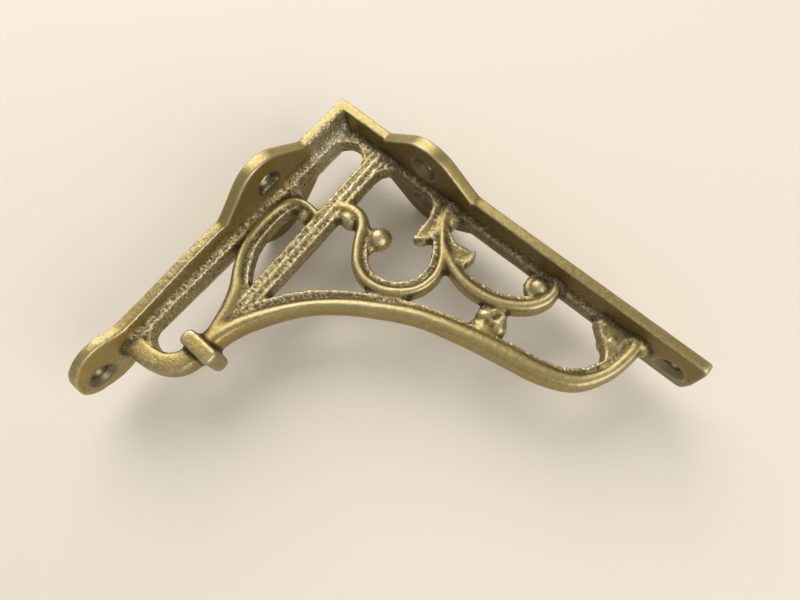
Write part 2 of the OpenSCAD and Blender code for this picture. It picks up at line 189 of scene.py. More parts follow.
LEAF = [
    (1.0, 0.3), (0.98, 0.7), (0.9, 0.93), (0.74, 0.97), (0.4, 0.88), (0.0, 0.78), (-0.4, 0.88),
    (-0.74, 0.97), (-0.9, 0.93), (-0.98, 0.7), (-1.0, 0.3),
]


def moulding(strip):
    """A flat strip with a raised border, then the round bead; strip is its share of the width."""
    flat = [(1 - 2 * strip * u, h) for u, h in STRIP]
    return flat + [(1 - 2 * (strip + w * (1 - strip)), h) for w, h in BEAD]


print("points around a moulding:", 2 * len(moulding(0.5)))

# %% Draw one band
SECTION_STEP = 0.6


def smooth_path(rows, spacing):
    """A curve through the rows (Catmull-Rom), with one row about every spacing."""
    rows = np.array(rows)
    out = []
    for i in range(len(rows) - 1):
        a, b, c, d = (rows[min(max(k, 0), len(rows) - 1)] for k in range(i - 1, i + 3))
        n = max(2, round(float(np.hypot(*(c - b)[:2])) / spacing))
        run = (c - a) / 2
        bend = (2 * a - 5 * b + 4 * c - d) / 2
        turn = (3 * b - a - 3 * c + d) / 2
        out += [b + run * f + bend * f**2 + turn * f**3 for f in np.arange(n) / n]
    return np.array(out + [rows[-1]])


def to_left(path, i):
    """The direction square to the path at row i, in the plane of the scrollwork."""
    way = path[min(i + 1, len(path) - 1)] - path[max(i - 1, 0)]
    return np.array([-way[1], way[0]]) / np.hypot(way[0], way[1])


def band(name, rows, width, thick, section):
    """Sets a section square to the path at each row and closes the skin at both ends."""
    path = smooth_path(rows, SECTION_STEP)
    points, count = [], 0
    for i, row in enumerate(path):
        left = to_left(path, i)
        half = section or moulding(row[3])
        tall = thick * (row[3] if section else 1.0) / 2
        around = half + [(u, -h) for u, h in reversed(half)]
        count = len(around)
        for u, h in around:
            x, y = row[:2] + left * u * row[2] * width / 2
            points.append((x * MM, y * MM, h * tall * MM))
    faces = [tuple(range(count)), tuple(range(len(points) - 1, len(points) - count - 1, -1))]
    for i in range(len(path) - 1):
        for j in range(count):
            k = (j + 1) % count
            faces.append((i * count + j, (i + 1) * count + j, (i + 1) * count + k, i * count + k))
    mesh = bpy.data.meshes.new(name)
    mesh.from_pydata(points, [], faces)
    piece = bpy.data.objects.new(name, mesh)
    bpy.context.collection.objects.link(piece)
    pick(piece)
    bpy.ops.object.mode_set(mode="EDIT")
    bpy.ops.mesh.select_all(action="SELECT")
    bpy.ops.mesh.normals_make_consistent(inside=False)
    bpy.ops.object.mode_set(mode="OBJECT")
    return piece


MADE = [  # name, points, width and thickness in mm, section (None: a strip and a bead)
    ("arch", ARCH, 6.4, 7.8, None),
    ("crescent", CRESCENT, 5.2, 7.0, None),
    ("scroll", SCROLL, 5.0, 7.0, None),
    ("branch", BRANCH, 4.7, 7.0, None),
    ("bar", BAR, 5.8, 7.0, REED),
    ("foot", FOOT, 6.2, 7.0, FLAT),
    ("leaf_in", LEAF_IN, 4.6, 6.2, LEAF),
    ("leaf_out", LEAF_OUT, 4.6, 6.2, LEAF),
    ("leaf_tip", LEAF_TIP, 4.6, 6.2, LEAF),
    ("spur", SPUR, 2.2, 6.2, ROUND),
]
bands = [band(*row) for row in MADE]
print("bands:", [(b.name, len(b.data.polygons)) for b in bands])

# %% [markdown]
# Balls, bud and lobe
#
# The scrolls end in balls. Each was cast half in one side of the mould and half in the
# other, and a thin flash was left where the halves met. A sphere is scaled to the right
# stretch, and a flat ring around its middle stands for that flash. Other rings and stretched
# balls make the bud, the lobe and the thick places where bands run together. Sculpting them
# would give the same knots, but not at sizes that can be read and changed.

# %% Add the balls and rings
BALLS = [  # name, place x and y and size across in mm, stretch along x, y and z
    ("scroll_ball", 35.9, -25.2, 7.2, (1, 1, 1)),
    ("scroll_neck", 35.0, -28.6, 4.6, (1, 1.2, 0.9)),
    ("branch_ball", 80.1, -8.2, 6.6, (1, 1, 1.14)),
    ("crescent_ball", 14.1, -33.4, 5.4, (1, 1, 1)),
    ("lobe", 25.0, -26.4, 7.0, (1, 0.7, 0.95)),
    ("bud_left", 73.6, -24.0, 4.8, (1, 1, 1.2)),
    ("bud_right", 78.9, -24.8, 4.8, (1, 1, 1.2)),
    ("bud_foot", 75.8, -27.4, 5.6, (1.5, 1, 1)),
    ("arch_end", 109.8, -4.4, 8.0, (1, 0.6, 1.05)),
    ("trunk", 47.0, -8.0, 6.4, (1.15, 1.8, 1.05)),
    ("spur_fill", 104.4, -8.6, 6.6, (1.1, 1.1, 0.94)),
    ("spur_knob", 99.4, -5.8, 4.2, (1, 1, 1.5)),
]
RINGS = [  # name, place x and y, radius and half thickness in mm, stretch along z
    ("scroll_ball_flash", 35.9, -25.2, 3.5, 0.45, 1.0),
    ("branch_ring", 80.1, -8.2, 3.2, 0.8, 2.8),
    ("bud_knot", 76.6, -22.6, 1.8, 1.3, 2.2),
]


def settle(name, scale):
    """Names the primitive that was just added and puts its place and scale in its mesh."""
    piece = bpy.context.active_object
    piece.name = name
    piece.scale = scale
    bpy.ops.object.transform_apply(location=True, rotation=True, scale=True)
    return piece


def ball(name, x, y, size, stretch):
    bpy.ops.object.select_all(action="DESELECT")
    place = (x * MM, y * MM, 0)
    bpy.ops.mesh.primitive_uv_sphere_add(segments=48, ring_count=28, radius=size * MM / 2, location=place)
    return settle(name, stretch)


def ring(name, x, y, radius, thick, tall):
    bpy.ops.object.select_all(action="DESELECT")
    bpy.ops.mesh.primitive_torus_add(
        major_segments=64, minor_segments=16, major_radius=radius * MM, minor_radius=thick * MM,
        location=(x * MM, y * MM, 0),
    )
    return settle(name, (1, 1, tall))


balls = [ball(*row) for row in BALLS] + [ring(*row) for row in RINGS]
print("balls and rings:", len(balls))

# %% [markdown]
# The collar
#
# A flat bar lies across the stem like a strap, and hides where the foot begins. It is a cube
# bevelled twice: first the four upright edges, which makes round corners in the plan, then
# all that is still sharp, by the smaller radius that a finger would feel. One bevel would
# round all edges alike, and on the real collar the corners are rounder than the rest.

# %% Add the collar
COLLAR_AT = (20.6, -81.4, 0)
COLLAR_SIZE = (11.6, 4.8, 11.6)
CORNER_RADIUS, EDGE_RADIUS = 1.8, 0.9
SHARP = math.radians(60)


def cube(name, place, size):
    """Adds a cube of this size with its middle at this place, both in mm."""
    bpy.ops.object.select_all(action="DESELECT")
    bpy.ops.mesh.primitive_cube_add(size=1, location=[v * MM for v in place])
    return settle(name, [v * MM for v in size])


collar = cube("collar", COLLAR_AT, COLLAR_SIZE)
upright = collar.data.attributes.new("bevel_weight_edge", "FLOAT", "EDGE")
for edge in collar.data.edges:
    a, b = (collar.data.vertices[k].co for k in edge.vertices)
    upright.data[edge.index].value = 1.0 if abs(a.z - b.z) > MM else 0.0
apply_modifier(
    collar, "round_corners", "BEVEL", width=CORNER_RADIUS * MM, segments=8, limit_method="WEIGHT"
)
apply_modifier(
    collar, "worn_edges", "BEVEL", width=EDGE_RADIUS * MM, segments=4, limit_method="ANGLE", angle_limit=SHARP
)
print("collar:", len(collar.data.polygons), "faces")

# %% [markdown]
# Webs in the corners
#
# Around the opening in the outer corner the metal is broad, and the corners of the other
# openings are round too. Each such web is a cube with a cylinder taken out of it, so that a
# quarter of a round hole is left. A bevel on the opening itself would need clean edges, and
# where bands meet there are none. A low rib runs along the strip of the wall arm.

# %% Add the webs and the ribs
WEBS = [  # corner x and y and radius in mm, then the way the quarter opens along x and y
    (5.4, -6.2, 5.6, 1, -1),
    (16.6, -6.2, 5.6, -1, -1),
    (21.8, -5.4, 5.0, 1, -1),
    (42.8, -5.4, 4.6, -1, -1),
    (5.4, -89.4, 4.4, 1, 1),
    (5.4, -29.6, 3.6, 1, 1),
    (106.0, -5.4, 3.0, -1, -1),
]
WEB_TALL, WEB_LAP = 5.4, 0.3
CORNER_FILL_AT, CORNER_FILL_SIZE = (11, -5.2, 0), (12, 2.4, WEB_TALL)
RIB_AT, RIB_UP, RIB_RADIUS, RIB_LONG = (4.9, -49), 2.8, 0.8, 86
ALONG_WALL = (math.pi / 2, 0, 0)


def rod(name, place, radius, length, sides, turn=(0, 0, 0)):
    """Adds a cylinder, upright unless it is turned; its sizes are in mm."""
    bpy.ops.object.select_all(action="DESELECT")
    bpy.ops.mesh.primitive_cylinder_add(
        vertices=sides, radius=radius * MM, depth=length * MM, location=[v * MM for v in place], rotation=turn
    )
    return settle(name, (1, 1, 1))


def cut(piece, cutter):
    apply_modifier(piece, "hollow", "BOOLEAN", object=cutter, operation="DIFFERENCE")
    bpy.data.objects.remove(cutter)
    return piece


def web(x, y, radius, right, up):
    """Fills the corner at x, y with a hollow quarter round."""
    wide = radius + 2 * WEB_LAP
    piece = cube("web", (x + right * radius / 2, y + up * radius / 2, 0), (wide, wide, WEB_TALL))
    middle = (x + right * (radius + WEB_LAP), y + up * (radius + WEB_LAP), 0)
    return cut(piece, rod("web_hollow", middle, radius, 4 * WEB_TALL, sides=64))


webs = [web(*row) for row in WEBS]
webs.append(cube("corner_fill", CORNER_FILL_AT, CORNER_FILL_SIZE))
for side in (1, -1):
    webs.append(rod("rib", (*RIB_AT, side * RIB_UP), RIB_RADIUS, RIB_LONG, sides=24, turn=ALONG_WALL))
print("webs and ribs:", len(webs))

# %% [markdown]
# The hollow slope of the wall arm
#
# The inner face of the wall arm isn't flat. It rises to the strip in a hollow curve, and that
# curve catches a long soft gleam. A bent plane could draw it, but it would have no
# thickness to join with. So a long cube has an oval cylinder taken out of it, which leaves
# the curve and a solid behind it.

# %% Add the slopes
SLOPE_WIDE, SLOPE_HIGH, SLOPE_FOOT, SLOPE_TOP = 2.5, 5.2, 3.4, 7.8
SLOPE_MIDDLE, SLOPE_LONG, SLOPE_LAP, CUT_REACH = -48, 88, 0.1, 60


def slope(side):
    place = (SLOPE_FOOT + SLOPE_WIDE / 2 - SLOPE_LAP, SLOPE_MIDDLE, side * (SLOPE_TOP - SLOPE_HIGH / 2))
    piece = cube("slope", place, (SLOPE_WIDE + 2 * SLOPE_LAP, SLOPE_LONG, SLOPE_HIGH))
    bpy.ops.object.select_all(action="DESELECT")
    middle = ((SLOPE_FOOT + SLOPE_WIDE) * MM, SLOPE_MIDDLE * MM, side * SLOPE_TOP * MM)
    bpy.ops.mesh.primitive_cylinder_add(vertices=64, radius=1, depth=2, location=middle, rotation=ALONG_WALL)
    return cut(piece, settle("slope_hollow", (SLOPE_WIDE * MM, SLOPE_HIGH * MM, CUT_REACH * MM)))


webs += [slope(1), slope(-1)]
print("slopes:", [tuple(round(v / MM, 1) for v in w.dimensions) for w in webs[-2:]])

# %% [markdown]
# One skin
#
# The facets of the CAD copy would show through the fine bands, so the copy is first drawn
# in by a fifth of a millimetre wherever a band runs over it. Then all pieces are joined and
# a voxel remesh gives them one closed skin. A boolean union would keep hard creases where
# the bands meet; metal that ran into sand has none. To fill the creases, the skin is blown
# up by half a millimetre, remeshed and drawn in again: what has closed stays closed.

# %% Where the bands lie
SPINE_STEP = 0.5
spine = []  # for each place: the band's name, its row, the direction across, half its width
for name, rows, width, *_ in MADE:
    path = smooth_path(rows, SPINE_STEP)
    spine += [(name, row, to_left(path, i), row[2] * width / 2) for i, row in enumerate(path)]
near_band = KDTree(len(spine))
for i, (_, row, _, _) in enumerate(spine):
    near_band.insert((row[0], row[1], 0), i)
near_band.balance()
print("places along the bands:", len(spine))

# %% Sink the copy under the bands
SINK, SINK_MARGIN = 0.2, 0.25
BANDS_UP_TO, ARMS_UP_TO = 4.2, 4.6  # mm from the middle plane, and from the arms' outer faces
under = bracket.vertex_groups.new(name="under_bands")
sunk = []
for v in bracket.data.vertices:
    x, y, z = v.co / MM
    _, index, gap = near_band.find((x, y, 0))
    if gap < spine[index][3] + SINK_MARGIN and abs(z) < BANDS_UP_TO and min(x, -y) > ARMS_UP_TO:
        sunk.append(v.index)
under.add(sunk, 1.0, "REPLACE")
apply_modifier(bracket, "sink", "DISPLACE", strength=-SINK * MM, mid_level=0.0, vertex_group="under_bands")
print("points drawn in:", len(sunk))

# %% Join, remesh and fill the creases
VOXEL = 0.3
FILL = 0.5
pick(*bands, *balls, *webs, collar, bracket)
bpy.ops.object.join()
bracket = bpy.context.active_object
bracket.vertex_groups.clear()
apply_modifier(bracket, "one_skin", "REMESH", mode="VOXEL", voxel_size=VOXEL * MM, adaptivity=0.0)
apply_modifier(bracket, "even", "SMOOTH", factor=0.5, iterations=2)
apply_modifier(bracket, "blow_up", "DISPLACE", strength=FILL * MM, mid_level=0.0)
apply_modifier(bracket, "closed_skin", "REMESH", mode="VOXEL", voxel_size=VOXEL * MM, adaptivity=0.0)
apply_modifier(bracket, "even", "SMOOTH", factor=0.5, iterations=2)
apply_modifier(bracket, "draw_in", "DISPLACE", strength=-FILL * MM, mid_level=0.0)
print("one skin:", len(bracket.data.vertices), "points")

# %% [markdown]
# Soft edges
#
# Every edge of a casting is a little round. The screw holes were sunk afterwards, so they are
# smoothed less, and the rims of the ears and the inner lip of the wall arm, which hands
# touch, are smoothed more. A bevel needs edges to follow, and the skin has none left, so the
# Smooth modifier does it, led by a weight for each point.


# %% Read the skin as arrays
def places(mesh):
    co = np.empty(len(mesh.vertices) * 3)
    mesh.vertices.foreach_get("co", co)
    return co.reshape(-1, 3) / MM


def directions(mesh):
    no = np.empty(len(mesh.vertices) * 3)
    mesh.vertices.foreach_get("normal", no)
    return no.reshape(-1, 3)


def blurred(mesh, values, rounds):
    """Each point takes the mean of its neighbours, again and again."""
    ends = np.empty(len(mesh.edges) * 2, dtype=np.int64)
    mesh.edges.foreach_get("vertices", ends)
    a, b = ends[0::2], ends[1::2]
    count = len(mesh.vertices)
    share = np.maximum(np.bincount(a, minlength=count) + np.bincount(b, minlength=count), 1)
    out = np.array(values, dtype=float).reshape(count, -1)
    for _ in range(rounds):
        out = np.stack(
            [(np.bincount(a, c[b], count) + np.bincount(b, c[a], count)) / share for c in out.T], axis=1
        )
    return out.reshape(np.shape(values))


def step(low, high, values):
    """Nought up to low, one from high on, and a soft rise between; low may be the greater."""
    t = np.clip((values - low) / (high - low), 0, 1)
    return t * t * (3 - 2 * t)


co = places(bracket.data)
print("skin from", co.min(axis=0).round(1), "to", co.max(axis=0).round(1), "mm")

# %% Find the screw holes
EAR_ALONG, EAR_ASIDE, EAR_THICK = 34.8, 9.6, 3.7
SHELF_HOLE, LUG_HOLE, ARM_THICK = 120.2, 104.3, 4.4
HOLES = [((SHELF_HOLE, 0.0, 0.0), 1, ARM_THICK), ((0.0, -LUG_HOLE, 0.0), 0, ARM_THICK)]
for side in (EAR_ASIDE, -EAR_ASIDE):
    HOLES += [((EAR_ALONG, 0.0, side), 1, EAR_THICK), ((0.0, -EAR_ALONG, side), 0, EAR_THICK)]
HOLE_ENDS = (0.6, 0.4)  # how far a hole's reach goes past the outer and the inner face
WALL_RADIUS, WALL_ENDS = 4.4, (0.25, 0.12)
FAR = 1e3


def to_hole(co):
    """Distance of each point from the nearest hole's axis, and whether it is on the hole's wall."""
    best, wall = np.full(len(co), FAR), np.zeros(len(co))
    for centre, axis, thick in HOLES:
        off = co - np.array(centre)
        along = off[:, axis] * (1 if axis == 0 else -1)
        off[:, axis] = 0
        gap = np.linalg.norm(off, axis=1)
        gap[(along < -HOLE_ENDS[0]) | (along > thick + HOLE_ENDS[1])] = FAR
        wall[(gap < WALL_RADIUS) & (along > WALL_ENDS[0]) & (along < thick - WALL_ENDS[1])] = 1
        best = np.minimum(best, gap)
    return best, wall


hole_gap, hole_wall = to_hole(co)
print("points on the walls of the screw holes:", int(hole_wall.sum()))

# %% Soften the edges
LEVELS = 20
HOLE_CAST = 0.3  # share of the smoothing that is left at a screw hole
CAST_OFF_HOLE, RIM_OFF_HOLE = (4.6, 5.6), (4.8, 5.8)  # mm from a hole's axis
RIM_UP = (7.0, 8.5)  # mm from the middle plane
LIP_FROM, LIP_TO, LIP_UP, LIP_END = (1.2, 2.2), (4.6, 3.8), (7.0, 7.8), (-4.2, -5.2)


def weights(piece, name, values):
    """A vertex group with these values, rounded to a number of levels."""
    group = piece.vertex_groups.new(name=name)
    for level in range(1, LEVELS + 1):
        chosen = np.nonzero(np.round(values * LEVELS).astype(int) == level)[0]
        group.add(chosen.tolist(), level / LEVELS, "REPLACE")


x, y, z = co.T
off_hole = step(*RIM_OFF_HOLE, hole_gap)
lip = step(*LIP_FROM, x) * step(*LIP_TO, x) * step(*LIP_UP, np.abs(z)) * step(*LIP_END, y)
weights(bracket, "cast", HOLE_CAST + (1 - HOLE_CAST) * step(*CAST_OFF_HOLE, hole_gap))
weights(bracket, "rims", step(*RIM_UP, np.abs(z)) * off_hole)
weights(bracket, "lip", lip * off_hole)
for group, rounds in (("cast", 6), ("rims", 14), ("lip", 40)):
    apply_modifier(bracket, "soft_" + group, "SMOOTH", factor=0.5, iterations=rounds, vertex_group=group)
print("points on the lip:", int((lip > 0.5).sum()))

# %% [markdown]
# Where the light gets in
#
# Patina stays where no cloth can reach, and shade falls there as well. A place like that sees
# little of the sky, so rays are sent out from the skin and the free ones counted; the brown
# laid by this value is partly patina and partly painted shade. An ambient occlusion node does
# the same while it renders, but it is grainy at few samples. A thinned copy is enough for the
# rays, and its values are carried over to the full skin.

# %% Openness of the skin
RAYS, RAY_REACH, RAY_START = 40, 14, 0.3
COARSE_SHARE = 0.06
pick(bracket)
bpy.ops.object.duplicate()
coarse = bpy.context.active_object
apply_modifier(coarse, "thin", "DECIMATE", ratio=COARSE_SHARE)
tree = BVHTree.FromObject(coarse, bpy.context.evaluated_depsgraph_get())
rays = []
for i in range(RAYS):
    high = 1 - (i + 0.5) / RAYS
    turn = i * math.pi * (3 - math.sqrt(5))
    flat = math.sqrt(1 - high * high)
    rays.append(Vector((flat * math.cos(turn), flat * math.sin(turn), high)))
spots = KDTree(len(coarse.data.vertices))
seen = np.zeros(len(coarse.data.vertices))
for v in coarse.data.vertices:
    spots.insert(v.co, v.index)
    turn = Vector((0, 0, 1)).rotation_difference(v.normal)
    start = v.co + v.normal * RAY_START * MM
    free = sum(1 for r in rays if tree.ray_cast(start, turn @ r, RAY_REACH * MM)[0] is None)
    seen[v.index] = free / RAYS
spots.balance()
nearest = [spots.find(v.co)[1] for v in bracket.data.vertices]
open_sky = blurred(bracket.data, seen[nearest], rounds=6)
bpy.data.objects.remove(coarse)
print("openness from", round(float(open_sky.min()), 2), "to", round(float(open_sky.max()), 2))

# %% [markdown]
# Sand grain
#
# The mould was packed sand. Faces, beads and balls were dressed and handled, so they are
# nearly smooth. The strips, the bar and the hollows kept the print of the grains, and look
# like crust. A weight for each point says how much of that print is left, and cloud textures
# push the skin in and out by it. Bump alone would leave the outline too clean.

# %% How much print the arms keep
FACE_CRUST, SHELF_EDGE_CRUST, WALL_EDGE_CRUST, WALL_FACE_CRUST, CORNER_CRUST = 0.12, 0.18, 0.32, 0.3, 0.75
EDGE_UP = (8.2, 10)  # the narrow edges of the arms lie between these, from the middle plane
FACE_IN, FACE_UP = 1.5, 9.4
FOOT_END, CORNER_END = -92, -19  # along the wall arm
NARROW_FACING, FACE_FACING, CORNER_FACING = 0.6, 0.5, 0.3  # part of the normal; 1 is straight on
co, no = places(bracket.data), directions(bracket.data)
x, y, z = co.T
up = np.abs(z)
by_wall = x < -y  # nearer to the wall arm than to the shelf arm
crust = np.full(len(co), FACE_CRUST)
narrow = (up > EDGE_UP[0]) & (np.abs(no[:, 2]) > NARROW_FACING) & (up < EDGE_UP[1])
crust[narrow] = np.where(by_wall, WALL_EDGE_CRUST, SHELF_EDGE_CRUST)[narrow]
wall_face = by_wall & (x > FACE_IN) & (up < FACE_UP)
crust[wall_face & (no[:, 0] > FACE_FACING) & (y > FOOT_END)] = WALL_FACE_CRUST
crust[wall_face & (no[:, 0] > CORNER_FACING) & (y > CORNER_END)] = CORNER_CRUST
print("crust of the arms, mean:", round(float(crust.mean()), 2))

# %% How much print the scrollwork keeps
CRUST = {"bar": 0.7, "foot": 0.22, "leaf_in": 0.45, "leaf_out": 0.35, "leaf_tip": 0.6, "spur": 0.4}
BEAD_CRUST, BALL_CRUST, STRIP_CRUST, SHELF_STRIP_CRUST, STRIP_END_CRUST = 0.13, 0.3, 0.82, 0.5, 0.35
WORK_IN, WORK_UP, STRIP_IN, BAND_MARGIN = 3.9, 6.5, 5.4, 0.3
SHELF_STRIP_FROM, SHELF_STRIP_TO, SHELF_STRIP_IN = 24, 98, -6.4
BALL_SPOTS = [  # place x and y, and how far the smooth skin reaches from it
    (35.9, -25.2, 3.8), (80.1, -8.2, 3.6), (76.4, -24.0, 4.5), (14.1, -33.4, 2.9), (25.3, -26.1, 3.0),
]
COLLAR_REACH = (6.3, 2.7)
CRUST_OFF_HOLE = (4.5, 5.4)


def strip_crust(px, py):
    """The strips along the arms are smoother at the far ends and under the shelf arm."""
    if px > SHELF_STRIP_TO or py < FOOT_END:
        return STRIP_END_CRUST
    return SHELF_STRIP_CRUST if px > SHELF_STRIP_FROM and py > SHELF_STRIP_IN else STRIP_CRUST


for index in np.nonzero((x > WORK_IN) & (y < -WORK_IN) & (up < WORK_UP))[0]:
    px, py = co[index][:2]
    _, place, gap = near_band.find((px, py, 0))
    name, row, left, half = spine[place]
    if gap > half + BAND_MARGIN or min(px, -py) < STRIP_IN:
        crust[index] = strip_crust(px, py)
    elif name in CRUST:
        crust[index] = CRUST[name]
    else:
        across = float((px - row[0]) * left[0] + (py - row[1]) * left[1]) / half
        crust[index] = STRIP_CRUST if across > 1 - 2 * row[3] else BEAD_CRUST
for bx, by, reach in BALL_SPOTS:
    crust[(np.hypot(x - bx, y - by) < reach) & (up < WORK_UP)] = BALL_CRUST
at_collar = (np.abs(x - COLLAR_AT[0]) < COLLAR_REACH[0]) & (np.abs(y - COLLAR_AT[1]) < COLLAR_REACH[1])
crust[at_collar] = BEAD_CRUST
crust = blurred(bracket.data, crust, rounds=4) * step(*CRUST_OFF_HOLE, hole_gap)
print("crust, mean:", round(float(crust.mean()), 2))

# %% Press the grain into the skin
SAND = [  # name, size and depth in mm, and the weights that lead it
    ("hand_dressed", 7.0, 0.25, "dressed"),
    ("lumps", 1.7, 0.68, "crust"),
    ("grains", 0.7, 0.52, "crust"),
]
DRESSED_SHARE, DRESSED_OFF_HOLE = 0.8, (4.5, 8.0)
weights(bracket, "crust", crust)
weights(bracket, "dressed", DRESSED_SHARE * step(*DRESSED_OFF_HOLE, hole_gap))
for name, size, depth, group in SAND:
    texture = bpy.data.textures.new(name, "CLOUDS")
    texture.noise_scale = size * MM
    texture.noise_depth = 3
    texture.noise_basis = "IMPROVED_PERLIN"
    apply_modifier(
        bracket, name, "DISPLACE", texture=texture, texture_coords="LOCAL",
        strength=depth * MM, mid_level=0.5, vertex_group=group,
    )
bracket.vertex_groups.clear()
print("mean shift of the skin in mm:", round(float(np.abs(places(bracket.data) - co).mean()), 3))

# %% [markdown]
# Pits, hollows, painted shade and painted light
#
# A point that lies below the mean of its neighbours is in a pit, and one above it is on a
# grain. The same with a wider ring of neighbours tells hollows from ridges. These values stay
# on the mesh as attributes, so that the finish can read them. The Geometry node has a
# pointiness value like this, but the width of its ring can't be chosen. At the end the mesh
# is thinned to a size that other programs take easily.

# %% Measure the skin
SHELF_UNDER, SHELF_INNER = -1.5, -5.0
SHADE_FROM, SHADE_TO, SHADE_UP = 20, 99, 8.5
UNDER_FROM, UNDER_SHADE = 8, 0.8
PAINTED_LIGHT_IN, PAINTED_LIGHT_UP = (2.2, 6.5), 9
UNDER_FACING, PAINTED_LIGHT_FACING = -0.4, -0.3
SHADE_OFF_HOLE = (4.4, 5.0)
co, no = places(bracket.data), directions(bracket.data)
x, y, z = co.T
up = np.abs(z)
fine = np.einsum("ij,ij->i", co - blurred(bracket.data, co, rounds=4), no)
broad = np.einsum("ij,ij->i", co - blurred(bracket.data, co, rounds=24), no)
# Painted shade: the strip along the shelf arm, and the faces under that arm that look away from the lamps,
# are darkened in the colour.
below = (no[:, 1] < UNDER_FACING) & (y > SHELF_INNER) & (y < SHELF_UNDER) & (x > UNDER_FROM)
on_strip = (y < SHELF_UNDER) & (y > SHELF_STRIP_IN) & (x > SHADE_FROM) & (x < SHADE_TO) & (up < SHADE_UP)
shade = np.where(on_strip, 1.0, UNDER_SHADE * below)
shade = blurred(bracket.data, shade, rounds=5) * step(*SHADE_OFF_HOLE, hole_gap)
# Painted light: the inner face of the wall arm by the corner is made paler in the colour, as if lit.
worn = (x < -y) & (x > PAINTED_LIGHT_IN[0]) & (x < PAINTED_LIGHT_IN[1]) & (y > CORNER_END) & (up < PAINTED_LIGHT_UP)
worn &= no[:, 2] > PAINTED_LIGHT_FACING
kept = {
    "fine": fine,
    "broad": broad,
    "sky": open_sky,
    "bare": blurred(bracket.data, hole_wall, rounds=1),
    "crust": crust,
    "shade": shade,
    "worn": blurred(bracket.data, worn.astype(float), rounds=5),
}
for name, values in kept.items():
    layer = bracket.data.attributes.new(name, "FLOAT", "POINT")
    layer.data.foreach_set("value", values.astype(np.float32))
    print(name, "mostly from", *np.percentile(values, [2, 98]).round(3))

# %% Thin the mesh
LIMIT = 196000
triangles = sum(len(p.vertices) - 2 for p in bracket.data.polygons)
apply_modifier(bracket, "thin", "DECIMATE", ratio=min(1.0, LIMIT / triangles))
bpy.ops.object.shade_smooth()
print("triangles:", triangles, "thinned to", sum(len(p.vertices) - 2 for p in bracket.data.polygons))

# %% [markdown]
# The finish
#
# Antique brass: a thin brass plate on the iron, browned all over, then rubbed back so that
# the brown stays in pits and hollows and the grain tops shine. The values measured above
# drive it: "fine" tells pits from grain tops, "broad" tells hollows from ridges, "sky" tells
# how much sky a place sees, and "crust" how much sand print it has. Where little sky is seen,
# the brown is partly patina and partly painted shade. "shade" lays painted shade along the
# strip and the inner face of the shelf arm, and one more value lays painted light on the inner
# face of the wall arm by the corner. The screw holes were sunk after plating, so greyer turned
# metal shows there. A painted texture could hold all this, but it would not follow when the
# shape changes.


# %% Helpers for the finish
def linear(code):
    """An sRGB hex colour in the linear values that a node takes."""
    parts = [int(code[i : i + 2], 16) / 255 for i in (1, 3, 5)]
    return [p / 12.92 if p <= 0.04045 else ((p + 0.055) / 1.055) ** 2.4 for p in parts] + [1.0]


def add(tree, kind, feeds=None, **settings):
    """Adds a node with its settings; feeds are values or links for its inputs."""
    made = tree.nodes.new(kind)
    for key, value in settings.items():
        setattr(made, key, value)
    for key, value in (feeds or {}).items():
        if isinstance(value, bpy.types.NodeSocket):
            tree.links.new(value, made.inputs[key])
        else:
            made.inputs[key].default_value = value
    return made


def fresh(name):
    """An empty material and its node tree."""
    material = bpy.data.materials.new(name)
    material.use_nodes = True
    material.node_tree.nodes.clear()
    return material, material.node_tree


# %% Antique brass: what the masks are
# Moulding sand has grains of about 0.3 mm. They are drawn at 0.7 mm, so that they show.
# Patches of 2.4 mm gather them into brighter and darker spots, and clouds of 9 mm vary the
# plate's colour a little, as a dipped and wiped finish does.
GRAIN, PATCH, CLOUD = 0.7, 2.4, 9
brass, t = fresh("antique_brass_on_iron")
spot = add(t, "ShaderNodeTexCoord").outputs["Object"]
read = {name: add(t, "ShaderNodeAttribute", attribute_name=name).outputs["Fac"] for name in kept}
grain, patch, cloud = (
    add(t, "ShaderNodeTexNoise", {"Vector": spot, "Scale": 1 / (size * MM), "Detail": detail}).outputs["Fac"]
    for size, detail in ((GRAIN, 3.0), (PATCH, 2.0), (CLOUD, 3.0))
)
MASKS = [  # name, what it reads, the value where it starts and the value where it is full
    ("pit", read["fine"], -0.01, -0.08), ("top", read["fine"], 0.01, 0.08),
    ("hollow", read["broad"], -0.05, -0.4), ("ridge", read["broad"], 0.06, 0.25),
    # On the next line, the first mask is dark where little sky is seen: partly patina, partly painted shade.
    ("deep", read["sky"], 0.5, 0.15), ("speck", grain, 0.5, 0.36), ("rub_and_glint", grain, 0.5, 0.64),
    ("bright", patch, 0.36, 0.62), ("dim", patch, 0.64, 0.4),
]
mask = {}
for name, source, low, high in MASKS:
    limits = {"Value": source, "From Min": low, "From Max": high}
    mask[name] = add(t, "ShaderNodeMapRange", limits).outputs["Result"]


def total(*terms):
    """The sum of mask times share, kept between nought and one."""
    so_far = 0.0
    for value, share in terms:
        feeds = {0: value, 1: share, 2: so_far}
        so_far = add(t, "ShaderNodeMath", feeds, operation="MULTIPLY_ADD", use_clamp=True).outputs[0]
    return so_far


print("masks:", sorted(mask))

# %% Antique brass: colour
# Brass that has browned is a dull olive gold, not a yellow one. Brown lies over it: patina in
# pits and hollows, patina and painted shade where little sky is seen, and painted shade along
# the shelf arm. Then a pale layer where cloth and hands rubbed, with painted glints on the grain
# tops and painted light on the wall arm's inner face by the corner. Then the turned metal of
# the holes.
GOLD, PALER_GOLD, BROWN, PALE_RUB_AND_LIGHT, BARE = "#8d7841", "#9c8a51", "#46371a", "#f0e9d0", "#756c54"
speck = total((total((mask["speck"], read["crust"])), mask["dim"]))
